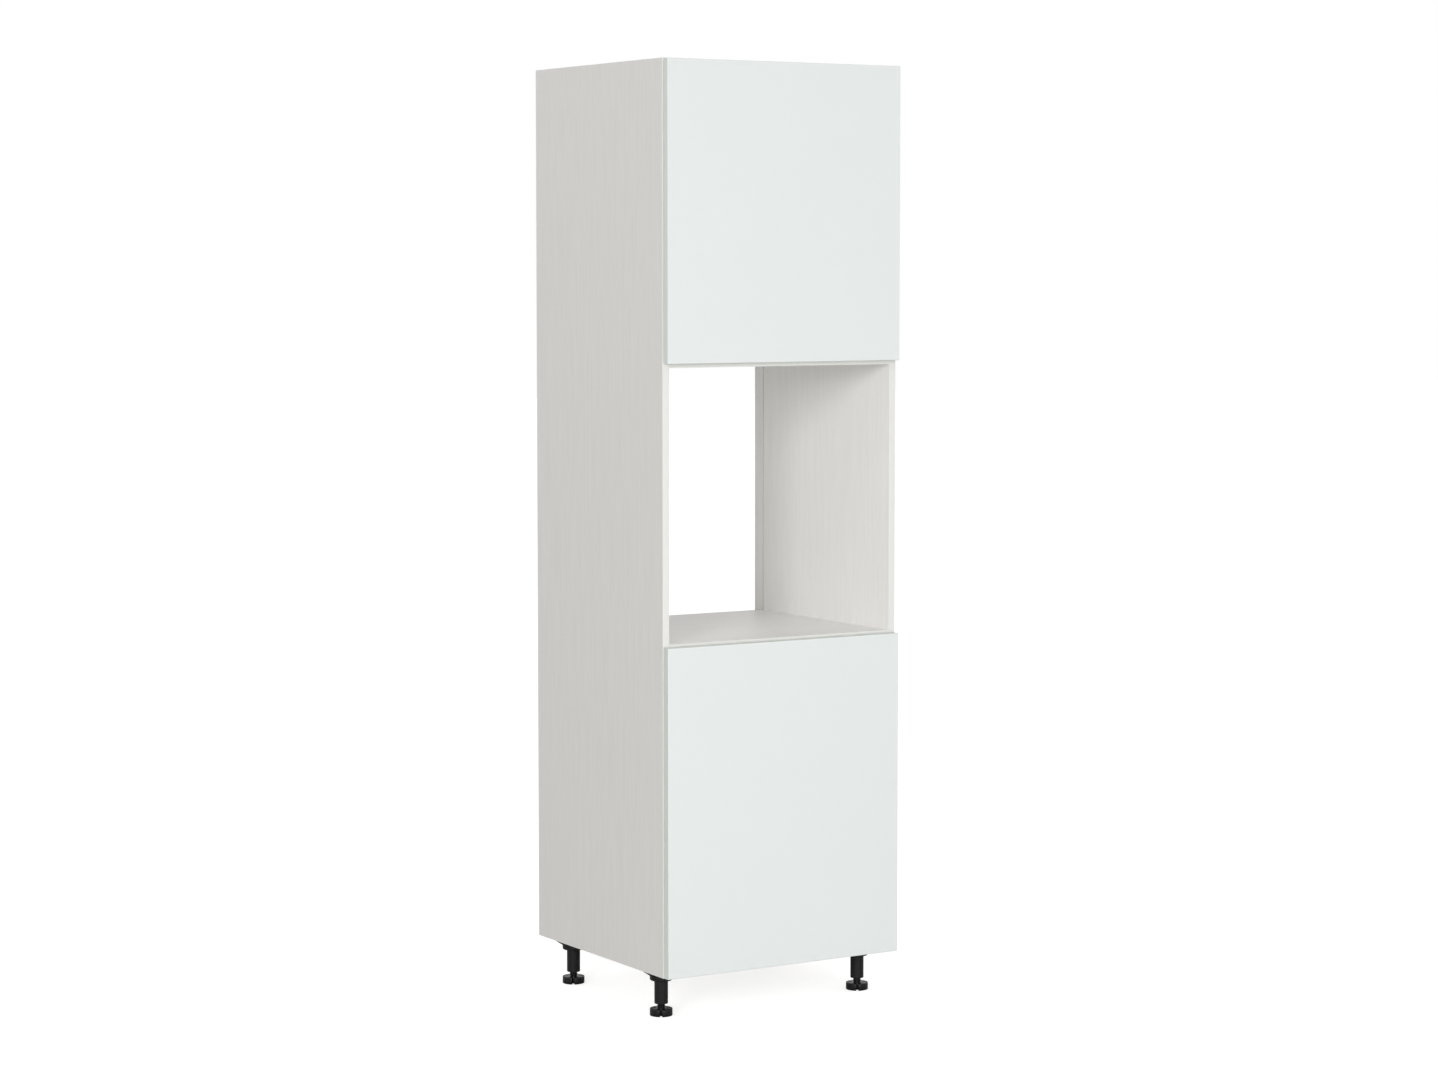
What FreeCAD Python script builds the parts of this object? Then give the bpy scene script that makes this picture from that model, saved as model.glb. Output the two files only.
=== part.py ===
import FreeCAD, Part
import math
import os
import re
import Sketcher

# Tall housing for a built-in oven: a 600 mm wide carcass on adjustable legs, an open niche between a
# lower and an upper cupboard, and two handle-less doors on concealed cup hinges.
# X runs along the front from left to right, Y from front to back, Z up from the floor.
# The origin is on the floor, under the middle of the unit with its doors closed.

Vector = FreeCAD.Vector
Rotation = FreeCAD.Rotation
Placement = FreeCAD.Placement

doc = FreeCAD.newDocument("TallOvenHousing")
sheet = doc.addObject("Spreadsheet::Sheet", "Sizes")

sizes = {
    # the whole unit
    "unitWidth": 600,
    "carcassDepth": 560,
    "unitHeight": 2070,
    "legHeight": 100,
    "board": 16,            # chipboard with white melamine
    "edgeBand": 1,
    "bandRound": 0.7,
    # oven niche
    "nicheFloorTop": 822,   # above the floor
    "nicheClear": 592,
    # back panels, in grooves ahead of the rear edge
    "backInset": 38,
    "backSheet": 3,
    "grooveWidth": 3.5,
    "grooveDepth": 8,
    "grooveEnd": 0.5,
    # doors
    "doorThickness": 16,
    "doorGap": 2.5,         # door's rear face to the carcass front
    "doorReveal": 2,        # each side
    "doorRound": 1.5,
    "lowerDoorHeight": 716,
    "upperDoorStart": 9,    # above the niche ceiling's underside
    "upperDoorEnd": 1,      # below the top of the unit
    # adjustable shelves
    "shelfPlay": 1,
    "shelfSetback": 15,
    "lowerShelfTop": 470,
    "upperShelfTop": 1750,
    "pinDiameter": 5,
    "pinDepth": 11,
    "pinRow": 37,           # hole rows, from the front edge and from the back panel
    "pinPitch": 32,
    "pinFlange": 8,         # width of the support's bracket
    "pinPlate": 8,          # its height against the side
    "pinShelf": 12,         # its reach under the shelf
    "pinSheet": 2,
    "pinReach": 9,
    # cam connectors
    "camDiameter": 15,
    "camDepth": 12.5,
    "camInset": 34,
    "camPlay": 0.3,         # below the board's face; twice that at its bottom
    "camSlotLength": 9,
    "camSlotWidth": 2.4,
    "camSlotDepth": 2.5,
    "camHollow": 2.5,       # how far the bolt's way passes the cam's middle
    "camFront": 50,
    "camRear": 460,
    "boltBore": 7,
    "boltThread": 5,
    "boltThreadDepth": 11,
    "boltRoom": 0.5,        # of the drilled hole past the bolt's end
    "boltHead": 6.5,
    "boltHeadEnd": 1.5,     # past the cam's middle
    "boltHeadLength": 4,
    "boltShaft": 5.8,
    "boltNeck": 3.6,
    "boltNeckLength": 4.5,
    "dowelDiameter": 8,
    "dowelInBoard": 24,
    "dowelInSide": 10,
    "dowelChamfer": 0.8,
    "dowelStep": 32,        # from the cam connector towards the board's middle
    "capDiameter": 17,
    "capThickness": 0.8,
    # legs
    "legFromSide": 43,
    "legFromFront": 82,
    "legFromFrontRear": 475,
    "footDiameter": 50,
    "footThickness": 16,
    "footChamfer": 1.5,
    "footNotch": 6,         # width at the rim
    "footNotchRoot": 4,     # and at its inner end
    "footNotchDepth": 12.5,
    "neckDiameter": 17.5,
    "neckGap": 10.5,        # between the foot and the tube
    "stemLength": 48,
    "stemPlay": 0.05,
    "tubeDiameter": 30,
    "tubeChamfer": 0.7,
    "collarDiameter": 50,
    "collarDrop": 22,       # below the carcass
    "collarBevel": 2,
    "flangeDiameter": 80,
    "flangeThickness": 2.5,
    "gussetDrop": 13,
    "gussetThickness": 2.5,
    "gussetRoot": 1,        # sunk into the collar and the plate
    "gussetTip": 0.5,       # its low end, and its distance from the plate's rim
    "legScrewCircle": 31,
    "legScrewHole": 4.5,
    # cup hinges
    "hingeFromDoorEnd": 100,
    "cupDiameter": 35,
    "cupDepth": 11.5,
    "cupCentre": 22.5,      # from the door's edge
    "cupBore": 12.5,
    "cupWell": 12.8,        # height of the well between its cheeks
    "cupWellDepth": 9,
    "cupRimCut": 2,         # the well's edge, lowered towards the door's edge
    "cupWellStart": 15,     # the well's inner end, from the cup's centre
    "cupWellLength": 29.6,
    "cupBowlRound": 2,
    "cupFlange": 1.2,
    "cupFlangeLength": 31,
    "cupFlangeHeight": 28,
    "cupFlangeRound": 8,
    "cupScrewStep": 45,
    "cupScrewOffset": 9.5,
    "cupEar": 10,
    "cupEarRound": 4.9,
    "plateHoleStep": 32,
    "plateRow": 37,
    "plateWing": 2.5,
    "plateWingWidth": 12,
    "plateWingRound": 5.8,
    "plateHeight": 8,
    "plateRailStart": 10,   # the rail's front end, ahead of the screws
    "plateRailLength": 44,
    "plateRailRound": 1,
    "armSheet": 1.4,
    "armRound": 1.2,
    "armBack": 74,          # the arm's end, behind the door's rear face
    "armLift": 2,           # the arm's web above the rail
    "armGap": 0.5,          # its cheeks above the wings
    "armSlope": 18,         # where its slope starts, behind the outer pin
    "armNosePlay": 0.4,
    "armNoseFront": 2.4,    # the nose past the inner pin
    "armNoseCheek": 3.4,    # its cheeks past the outer pin
    "armSlot": 4.2,         # the rear slot and the front hole, for the two adjusting screws
    "armSlotLength": 10,
    "armScrewRear": 7,      # the screws, ahead of the arm's end
    "armScrewFront": 21,
    "cupHole": 3.6,
    # the four pins of a hinge: how far in from the door's edge, how far out from its rear face
    "outerArmIn": 46,
    "outerArmOut": -26.3,
    "innerArmIn": 45.9,
    "innerArmOut": -5.6,
    "outerCupIn": 11,
    "outerCupOut": 1.6,
    "innerCupIn": 14.6,
    "innerCupOut": 2.9,
    "hingePin": 2,
    "cupPinLength": 18,
    "linkBore": 2.1,
    "linkEye": 4.4,
    "linkWidth": 2.6,
    "linkPlay": 0.3,        # between a link and what it turns in
    "outerLinkHeight": 11.8,
    "innerLinkHeight": 6.8,
    "outerCupBore": 2.1,
    "outerCupEye": 4.4,
    "innerCupBore": 3.96,   # wide, because this pivot is left open
    "innerCupEye": 6.2,
    # push latches, one for each door
    "latchWidth": 14,
    "latchHeight": 16,
    "latchLength": 74,
    "latchRound": 2.5,
    "latchEar": 9,          # past the case, above and below
    "latchEarWidth": 14,
    "latchEarStart": 8,     # behind the mouth
    "latchEarSheet": 2.5,
    "latchHole": 4,
    "latchFromDoorEnd": 60,
    "latchSetback": 3,      # behind the carcass front
    "plungerDiameter": 8,
    "plungerLength": 46,
    "plungerPlay": 0.08,
    "plungerTip": 1.2,
    "plungerRoom": 12,      # behind the plunger, for its spring
    "latchGap": 0.4,
    "strikeDiameter": 16,
    "strikeThickness": 0.8,
    # bumpers
    "bumperDiameter": 8,
    "bumperThickness": 2.1,
    "bumperFromEdge": 6,
    "bumperFromDoorEnd": 30,
    # wall brackets
    "bracketHeight": 40,
    "bracketArm": 34,
    "bracketSheet": 2,
    "bracketBend": 3,
    "bracketFromTop": 8,    # below the top panel
    "bracketScrewStep": 20,
    "bracketHole": 8,
    "bracketHoleFromSide": 20,
}

for row, (alias, number) in enumerate(sizes.items(), 1):
    sheet.set("A%d" % row, alias)
    sheet.set("B%d" % row, str(number))
    sheet.setAlias("B%d" % row, alias)
doc.recompute()

# Lengths that several pieces share, as formulas of the sheet's cells.
formulas = {
    "carcassFront": "((doorGap + doorThickness - carcassDepth) / 2)",
    "carcassHeight": "(unitHeight - legHeight)",
    "innerWidth": "(unitWidth - 2 * board)",
    "backFace": "(carcassDepth - backInset)",
    "ceilingUnderside": "(nicheFloorTop + nicheClear)",
    "doorWidth": "(unitWidth - 2 * doorReveal)",
    "doorRear": "(carcassFront - doorGap)",
    "upperDoorFoot": "(ceilingUnderside + upperDoorStart)",
    "upperDoorHeight": "(unitHeight - upperDoorEnd - upperDoorFoot)",
    "hingeEdge": "(unitWidth / 2 - doorReveal)",
    "pinDrop": "pinDiameter",       # a pin's centre below the shelf that it carries
}


def bound(text):
    """Write out the shared formulas, and point each alias at the sheet."""
    while any(re.search(r"\b%s\b" % name, text) for name in formulas):
        for name, formula in formulas.items():
            text = re.sub(r"\b%s\b" % name, formula, text)
    return re.sub(r"\b[a-z][A-Za-z]+\b(?!\()", lambda word: "Sizes." + word.group(0), text)


def value(text):
    return float(sheet.evalExpression(bound(str(text))))


def at(x, y, z, rotation=Rotation()):
    return Placement(Vector(value(x), value(y), value(z)), rotation)


def newBody(label, x="0", y="0", z="0"):
    body = doc.addObject("PartDesign::Body", label.title().replace("_", ""))
    body.Label = label
    for axis, text in zip("xyz", (x, y, z)):
        body.setExpression("Placement.Base." + axis, bound(text))
    return body


def newSketch(body, role, offset=None):
    """A sketch on one of the body's own origin planes, or parallel to it."""
    sketch = body.newObject("Sketcher::SketchObject", body.Name + "Sketch")
    plane = [feature for feature in body.Origin.OriginFeatures if feature.Role == role][0]
    sketch.AttachmentSupport = [(plane, "")]
    sketch.MapMode = "FlatFace"
    if offset:
        sketch.setExpression("AttachmentOffset.Base.z", bound(offset))
    return sketch


def bind(sketch, text, kind, *where):
    number = sketch.addConstraint(Sketcher.Constraint(kind, *where, value(text)))
    sketch.renameConstraint(number, "size%d" % number)
    sketch.setExpression("Constraints.size%d" % number, bound(text))


def outline(sketch, points):
    """Straight edges through the points, each bound to its own pair of formulas."""
    first = sketch.GeometryCount
    ends = [Vector(value(x), value(y), 0) for x, y in points]
    for start, end in zip(ends, ends[1:] + ends[:1]):
        sketch.addGeometry(Part.LineSegment(start, end), False)
    for number, (x, y) in enumerate(points):
        following = first + (number + 1) % len(points)
        sketch.addConstraint(Sketcher.Constraint("Coincident", first + number, 2, following, 1))
        bind(sketch, x, "DistanceX", -1, 1, first + number, 1)
        bind(sketch, y, "DistanceY", -1, 1, first + number, 1)


def rectangle(sketch, x, y, width, height):
    right = "%s + %s" % (x, width)
    top = "%s + %s" % (y, height)
    outline(sketch, [(x, y), (right, y), (right, top), (x, top)])


def circles(sketch, diameter, centres):
    for x, y in centres:
        centre = Vector(value(x), value(y), 0)
        circle = Part.Circle(centre, Vector(0, 0, 1), value(diameter) / 2)
        number = sketch.addGeometry(circle, False)
        bind(sketch, diameter, "Diameter", number)
        bind(sketch, x, "DistanceX", -1, 1, number, 3)
        bind(sketch, y, "DistanceY", -1, 1, number, 3)


def pad(body, sketch, length, reversed=False, midplane=False):
    feature = body.newObject("PartDesign::Pad", body.Name + "Pad")
    feature.Profile = sketch
    feature.setExpression("Length", bound(length))
    feature.Reversed = reversed
    feature.Midplane = midplane
    doc.recompute()
    return feature


def pocket(body, sketch, depth, reversed=False, midplane=False):
    before = body.Shape.Volume
    feature = body.newObject("PartDesign::Pocket", body.Name + "Pocket")
    feature.Profile = sketch
    feature.setExpression("Length", bound(depth))
    feature.Reversed = reversed
    feature.Midplane = midplane
    doc.recompute()
    if feature.Shape.Volume > before - 0.01:
        raise RuntimeError(body.Label + ": a pocket cuts nothing")
    return feature


def soften(body, solid, radius, chosen):
    """Round the edges of a body's latest feature that pass the test."""
    feature = body.newObject("PartDesign::Fillet", body.Name + "Rounding")
    edges = ["Edge%d" % number for number, edge in enumerate(solid.Shape.Edges, 1) if chosen(edge)]
    feature.Base = (solid, edges)
    feature.setExpression("Radius", bound(radius))
    doc.recompute()
    return feature


def parallelTo(axis):
    """A test for straight edges along one axis, such as the corners of a pad."""
    def test(edge):
        ends = [getattr(vertex.Point, axis) for vertex in edge.Vertexes]
        return abs(max(ends) - min(ends) - edge.Length) < 0.01
    return test


def lyingAt(axis, text):
    """A test for edges that lie at one place along one axis."""
    def test(edge):
        return all(abs(getattr(vertex.Point, axis) - value(text)) < 0.01 for vertex in edge.Vertexes)
    return test


def revolve(body, points):
    """A turned piece: a profile in the XZ plane, turned about the Z axis."""
    sketch = newSketch(body, "XZ_Plane")
    outline(sketch, points)
    feature = body.newObject("PartDesign::Revolution", body.Name + "Revolution")
    feature.Profile = sketch
    feature.ReferenceAxis = (sketch, ["V_Axis"])
    doc.recompute()
    return feature


def originAxis(body, role):
    return [feature for feature in body.Origin.OriginFeatures if feature.Role == role][0]


def repeatRound(body, features, count):
    feature = body.newObject("PartDesign::PolarPattern", body.Name + "Pattern")
    feature.Originals = features
    feature.Axis = (originAxis(body, "Z_Axis"), [""])
    feature.Angle = 360
    feature.Occurrences = count
    body.Tip = feature
    doc.recompute()
    return feature


def repeatUp(body, features, count, length):
    feature = body.newObject("PartDesign::LinearPattern", body.Name + "Row")
    feature.Originals = features
    feature.Direction = (originAxis(body, "Z_Axis"), [""])
    feature.setExpression("Length", bound(length))
    feature.Occurrences = count
    body.Tip = feature
    doc.recompute()
    return feature


def mirror(body, features):
    """The same features at the board's other end."""
    feature = body.newObject("PartDesign::Mirrored", body.Name + "Mirror")
    feature.Originals = features
    feature.MirrorPlane = (originAxis(body, "YZ_Plane"), [""])
    body.Tip = feature
    doc.recompute()
    return feature


def group(label, master, places):
    """Equal pieces in one node: one modelled piece, and a link to it at each place."""
    links = []
    for number, place in enumerate(places, 1):
        link = doc.addObject("App::Link", "%s%d" % (master.Name, number))
        link.LinkedObject = master
        link.LinkPlacement = place
        links.append(link)
    compound = doc.addObject("Part::Compound", label.title().replace("_", "") + "Group")
    compound.Label = label
    compound.Links = links
    doc.recompute()
    return compound


nodes = []


def keep(item):
    nodes.append(item)
    return item


# ---- carcass -------------------------------------------------------------------------------------

boardFeet = {   # underside of each board between the sides, above the floor
    "bottom_panel": "legHeight",
    "niche_floor_panel": "nicheFloorTop - board",
    "niche_ceiling_panel": "ceilingUnderside",
    "top_panel": "unitHeight - board",
}
camRows = ["camFront", "camRear"]
dowelRows = ["camFront + dowelStep", "camRear - dowelStep"]
shelfTops = ["lowerShelfTop", "upperShelfTop"]
pinRows = ["pinRow", "backFace - pinRow"]
hingeHeights = {            # above the floor
    "upper": ["upperDoorFoot + hingeFromDoorEnd", "unitHeight - upperDoorEnd - hingeFromDoorEnd"],
    "lower": ["legHeight + hingeFromDoorEnd", "legHeight + lowerDoorHeight - hingeFromDoorEnd"],
}


def behindBand(text):
    return "%s - edgeBand" % text


def sidePanel(label, x, leftward):
    """A side, drawn from its inner face at x = 0, with the drilling that the other pieces need."""
    body = newBody(label, x, "carcassFront + edgeBand", "legHeight")

    def drill(diameter, depth, rows, heights):
        sketch = newSketch(body, "YZ_Plane")
        centres = [(behindBand(row), height + " - legHeight") for row in rows for height in heights]
        circles(sketch, diameter, centres)
        return pocket(body, sketch, depth, reversed=not leftward)

    sketch = newSketch(body, "YZ_Plane")
    rectangle(sketch, "0", "0", "carcassDepth - edgeBand", "carcassHeight")
    pad(body, sketch, "board", reversed=leftward)
    groove = newSketch(body, "YZ_Plane")
    rectangle(groove, behindBand("backFace"), "0", "grooveWidth", "carcassHeight")
    pocket(body, groove, "grooveDepth", reversed=not leftward)
    middles = [foot + " + board / 2" for foot in boardFeet.values()]
    drill("boltThread", "boltThreadDepth + boltRoom", camRows, middles)
    drill("dowelDiameter", "dowelInSide", dowelRows, middles)
    if not leftward:
        plates = [height + sign + "plateHoleStep / 2"
                  for pair in hingeHeights.values() for height in pair for sign in (" - ", " + ")]
        drill("pinDiameter", "pinDepth", ["plateRow"], plates)
    lowest = [top + " - board - pinDrop - pinPitch" for top in shelfTops]
    pins = drill("pinDiameter", "pinDepth", pinRows, lowest)
    repeatUp(body, [pins], 3, "2 * pinPitch")
    return body


def crossBoard(label, depth, camsBelow, grooved):
    """A board between the sides, drawn about the middle of its front edge."""
    body = newBody(label, "0", "carcassFront + edgeBand", boardFeet[label])
    sketch = newSketch(body, "XY_Plane")
    rectangle(sketch, "-innerWidth / 2", "0", "innerWidth", behindBand(depth))
    pad(body, sketch, "board")
    if grooved:     # in the face that looks into the cupboard
        groove = newSketch(body, "XY_Plane", None if camsBelow == "inside" else "board")
        rectangle(groove, "-innerWidth / 2", behindBand("backFace"), "innerWidth", "grooveWidth")
        pocket(body, groove, "grooveDepth", reversed=camsBelow == "inside")
    cams = newSketch(body, "XY_Plane", None if camsBelow else "board")
    circles(cams, "camDiameter", [("-innerWidth / 2 + camInset", behindBand(row)) for row in camRows])
    camPocket = pocket(body, cams, "camDepth", reversed=bool(camsBelow))
    features = [camPocket]
    endHoles = (("boltBore", "camInset", camRows), ("dowelDiameter", "dowelInBoard", dowelRows))
    for diameter, depth, rows in endHoles:
        ends = newSketch(body, "YZ_Plane", "-innerWidth / 2")
        circles(ends, diameter, [(behindBand(row), "board / 2") for row in rows])
        features.append(pocket(body, ends, depth, reversed=True))
    mirror(body, features)
    return body


keep(sidePanel("left_side_panel", "board - unitWidth / 2", leftward=True))
keep(sidePanel("right_side_panel", "unitWidth / 2 - board", leftward=False))
keep(crossBoard("bottom_panel", "carcassDepth", "outside", grooved=True))
keep(crossBoard("niche_floor_panel", "backFace", "outside", grooved=False))
keep(crossBoard("niche_ceiling_panel", "backFace", "", grooved=False))
keep(crossBoard("top_panel", "carcassDepth", "inside", grooved=True))


def backPanel(label, foot, head):
    body = newBody(label, "0", "carcassFront + backFace", foot)
    sketch = newSketch(body, "XZ_Plane")
    width = "(innerWidth + 2 * grooveDepth - 2 * grooveEnd)"
    rectangle(sketch, "-%s / 2" % width, "0", width, "%s - (%s)" % (head, foot))
    pad(body, sketch, "backSheet", reversed=True)
    return body


keep(backPanel("lower_back_panel", "legHeight + board - grooveDepth + grooveEnd", "nicheFloorTop"))
keep(backPanel("upper_back_panel", "ceilingUnderside", "unitHeight - board + grooveDepth - grooveEnd"))


def shelf(label, top):
    body = newBody(label, "0", "carcassFront + shelfSetback + edgeBand", top + " - board")
    sketch = newSketch(body, "XY_Plane")
    width = "(innerWidth - shelfPlay)"
    rectangle(sketch, "-%s / 2" % width, "0", width, "backFace - shelfSetback - edgeBand - shelfPlay")
    pad(body, sketch, "board")
    return body


keep(shelf("lower_shelf", "lowerShelfTop"))
keep(shelf("upper_shelf", "upperShelfTop"))


def edgeBands():
    """The thin plastic strips on the boards' front edges."""
    strips = []

    def rounded(box, inFront, length):
        """The strip with its long front edges rounded."""
        long = [number for number, edge in enumerate(box.Shape.Edges, 1)
                if inFront(edge) and abs(edge.Length - length) < 0.01]
        fillet = doc.addObject("Part::Fillet", "RoundedBand")
        fillet.Base = box
        fillet.Edges = [(number, value("bandRound"), value("bandRound")) for number in long]
        return fillet

    def strip(x, y, z, width, height):
        box = doc.addObject("Part::Box", "EdgeBand")
        for axis, text in zip("xyz", (x, y, z)):
            box.setExpression("Placement.Base." + axis, bound(text))
        box.setExpression("Length", bound(width))
        box.setExpression("Width", bound("edgeBand"))
        box.setExpression("Height", bound(height))
        doc.recompute()
        strips.append(rounded(box, lyingAt("y", y), max(value(width), value(height))))

    for x in ("-unitWidth / 2", "unitWidth / 2 - board"):
        strip(x, "carcassFront", "legHeight", "board", "carcassHeight")
    for foot in boardFeet.values():
        strip("-innerWidth / 2", "carcassFront", foot, "innerWidth", "board")
    for top in shelfTops:
        width = "(innerWidth - shelfPlay)"
        strip("-%s / 2" % width, "carcassFront + shelfSetback", top + " - board", width, "board")
    bands = doc.addObject("Part::Compound", "EdgeBands")
    bands.Label = "edge_bands"
    bands.Links = strips
    doc.recompute()
    return bands


keep(edgeBands())


# ---- cam connectors, dowels and shelf pins ----------------------------------------------------------

def camHousing():
    """The zinc drum that pulls the bolt in; its open face is at z = 0, the bolt comes from -X."""
    body = newBody("cam_housing_master")
    sketch = newSketch(body, "XY_Plane", "-camPlay")
    circles(sketch, "camDiameter - camPlay", [("0", "0")])
    pad(body, sketch, "camDepth - 2 * camPlay", reversed=True)
    slot = newSketch(body, "XY_Plane")
    rectangle(slot, "-camSlotLength / 2", "-camSlotWidth / 2", "camSlotLength", "camSlotWidth")
    pocket(body, slot, "camSlotDepth")
    bore = newSketch(body, "YZ_Plane", "-camDiameter / 2")
    circles(bore, "boltBore + camPlay", [("0", "-board / 2")])
    pocket(body, bore, "camDiameter / 2 + camHollow", reversed=True)
    return body


def camBolt():
    """Threaded end below z = 0, in the side; the head sits in the cam."""
    body = newBody("cam_bolt_master")
    thread, shaft, neck, head = "boltThread / 2", "boltShaft / 2", "boltNeck / 2", "boltHead / 2"
    end = "(camInset + boltHeadEnd)"
    headFoot = "(%s - boltHeadLength)" % end
    neckFoot = "(%s - boltNeckLength)" % headFoot
    revolve(body, [
        ("0", "-boltThreadDepth"), (thread, "-boltThreadDepth"), (thread, "0"), (shaft, "0"),
        (shaft, neckFoot), (neck, neckFoot), (neck, headFoot), (head, headFoot), (head, end), ("0", end)])
    return body


def dowel():
    body = newBody("dowel_master")
    radius, length = "dowelDiameter / 2", "(dowelInSide + dowelInBoard)"
    revolve(body, [
        ("0", "0"), (radius + " - dowelChamfer", "0"), (radius, "dowelChamfer"),
        (radius, length + " - dowelChamfer"), (radius + " - dowelChamfer", length), ("0", length)])
    return body


def camCap():
    body = newBody("cam_cap_master")
    radius = "capDiameter / 2"
    revolve(body, [
        ("0", "0"), (radius, "0"), (radius, "capThickness / 2"),
        (radius + " - capThickness", "capThickness"), ("0", "capThickness")])
    return body


def eachConnection(rows, inset, flipInside=False):
    """The places of one fitting: each board, each end, each row; +X of the fitting points inwards."""
    for label, foot in boardFeet.items():
        for side in (-1, 1):
            for row in rows:
                x = value("%d * (innerWidth / 2 - (%s))" % (side, inset))
                yield label, foot, side, x, value("carcassFront + " + row)


inward = {-1: Rotation(Vector(0, 1, 0), 90), 1: Rotation(Vector(0, 1, 0), -90)}
turned = {-1: Rotation(), 1: Rotation(Vector(0, 0, 1), 180)}
upsideDown = Rotation(Vector(1, 0, 0), 180)
outOfDoor = Rotation(Vector(1, 0, 0), -90)      # +Z of a fitting points from the door to the carcass
openAbove = ["niche_ceiling_panel"]

camPlaces, capPlaces, boltPlaces, dowelPlaces = [], [], [], []
for label, foot, side, x, y in eachConnection(camRows, "camInset"):
    above = label in openAbove
    z = value(foot + (" + board" if above else ""))
    facing = Rotation() if above else upsideDown
    camPlaces.append(Placement(Vector(x, y, z), turned[side] * facing))
    if label != "bottom_panel":
        capPlaces.append(Placement(Vector(x, y, z), facing))
for label, foot, side, x, y in eachConnection(camRows, "0"):
    boltPlaces.append(Placement(Vector(x, y, value(foot + " + board / 2")), inward[side]))
for label, foot, side, x, y in eachConnection(dowelRows, "-dowelInSide"):
    dowelPlaces.append(Placement(Vector(x, y, value(foot + " + board / 2")), inward[side]))

keep(group("cam_housings", camHousing(), camPlaces))
keep(group("cam_bolts", camBolt(), boltPlaces))
keep(group("wooden_dowels", dowel(), dowelPlaces))
keep(group("cam_cover_caps", camCap(), capPlaces))


def shelfSupport():
    """A peg in the side's hole, below z = 0, and a small bracket that the shelf lies on at z = 0."""
    body = newBody("shelf_support_master")
    side = newSketch(body, "XZ_Plane")
    outline(side, [
        ("0", "-pinPlate"), ("pinSheet", "-pinPlate"), ("1.2 * pinSheet", "-1.5 * pinSheet"),
        ("2 * pinSheet", "-pinSheet"), ("pinShelf", "-0.8 * pinSheet"), ("pinShelf", "0"), ("0", "0")])
    pad(body, side, "pinFlange", midplane=True)
    peg = newSketch(body, "YZ_Plane")
    circles(peg, "pinDiameter", [("0", "-pinDrop")])
    pad(body, peg, "pinReach", reversed=True)
    return body


supportPlaces = []
for top in shelfTops:
    for side in (-1, 1):
        for row in pinRows:
            x, y = "%d * innerWidth / 2" % side, "carcassFront + " + row
            supportPlaces.append(at(x, y, top + " - board", turned[side]))
keep(group("shelf_supports", shelfSupport(), supportPlaces))


# ---- legs ----------------------------------------------------------------------------------------

legPlaces = {
    "front_left": ("legFromSide - unitWidth / 2", "carcassFront + legFromFront"),
    "front_right": ("unitWidth / 2 - legFromSide", "carcassFront + legFromFront"),
    "rear_left": ("legFromSide - unitWidth / 2", "carcassFront + legFromFrontRear"),
    "rear_right": ("unitWidth / 2 - legFromSide", "carcassFront + legFromFrontRear"),
}


screwAngles = [45 + 90 * quarter for quarter in range(4)]      # between the gussets
gussetTurn = 22.5


def aroundLeg(angle):
    turn = math.radians(angle)
    return ["legScrewCircle * %.6f" % share for share in (math.cos(turn), math.sin(turn))]


def legFlange():
    """The socket under the carcass, with its plate at z = 0 and eight gussets round the collar."""
    body = newBody("leg_flange_master")
    plate, collar, bore = "flangeDiameter / 2", "collarDiameter / 2", "tubeDiameter / 2"
    revolve(body, [
        ("0", "0"), (plate, "0"), (plate, "-flangeThickness"), (collar, "-flangeThickness"),
        (collar, "-collarDrop + collarBevel"), (collar + " - collarBevel", "-collarDrop"),
        (bore, "-collarDrop"), (bore, "-flangeThickness"), ("0", "-flangeThickness")])
    rib = newSketch(body, "XZ_Plane")
    rib.AttachmentOffset = Placement(Vector(), Rotation(Vector(0, 1, 0), gussetTurn))
    outline(rib, [
        (collar + " - gussetRoot", "-flangeThickness + gussetRoot"),
        (plate + " - gussetTip", "-flangeThickness + gussetRoot"),
        (plate + " - gussetTip", "-flangeThickness - gussetTip"), (collar + " - gussetRoot", "-gussetDrop")])
    gusset = pad(body, rib, "gussetThickness", midplane=True)
    repeatRound(body, [gusset], 8)
    hole = newSketch(body, "XY_Plane")
    circles(hole, "legScrewHole", [aroundLeg(screwAngles[0])])
    screwHole = pocket(body, hole, "flangeThickness + 1")
    repeatRound(body, [screwHole], 4)
    return body


def legTube():
    body = newBody("leg_tube_master")
    bore, wall = "neckDiameter / 2 + stemPlay", "tubeDiameter / 2"
    foot, top = "footThickness + neckGap", "legHeight - flangeThickness"
    revolve(body, [
        (bore, foot), (wall + " - tubeChamfer", foot), (wall, foot + " + tubeChamfer"),
        (wall, top), (bore, top)])
    return body


def legFoot(label, x, y):
    """The round foot with its stem, which screws up into the tube; four notches take a spanner."""
    body = newBody(label, x, y)
    rim, neck = "footDiameter / 2", "neckDiameter / 2"
    stemTop = "footThickness + neckGap + stemLength"
    revolve(body, [
        ("0", "0"), (rim + " - footChamfer", "0"), (rim, "footChamfer"), (rim, "footThickness - footChamfer"),
        (rim + " - footChamfer", "footThickness"), (neck, "footThickness"),
        (neck, stemTop + " - footChamfer"), (neck + " - footChamfer", stemTop), ("0", stemTop)])
    notch = newSketch(body, "XY_Plane")
    outline(notch, [
        (rim + " - footNotchDepth", "-footNotchRoot / 2"), (rim + " + 1", "-footNotch / 2"),
        (rim + " + 1", "footNotch / 2"), (rim + " - footNotchDepth", "footNotchRoot / 2")])
    cut = pocket(body, notch, "footThickness + 1", reversed=True)
    repeatRound(body, [cut], 4)
    body.Placement = Placement(body.Placement.Base, Rotation(Vector(0, 0, 1), 58.5))
    return body


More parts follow.
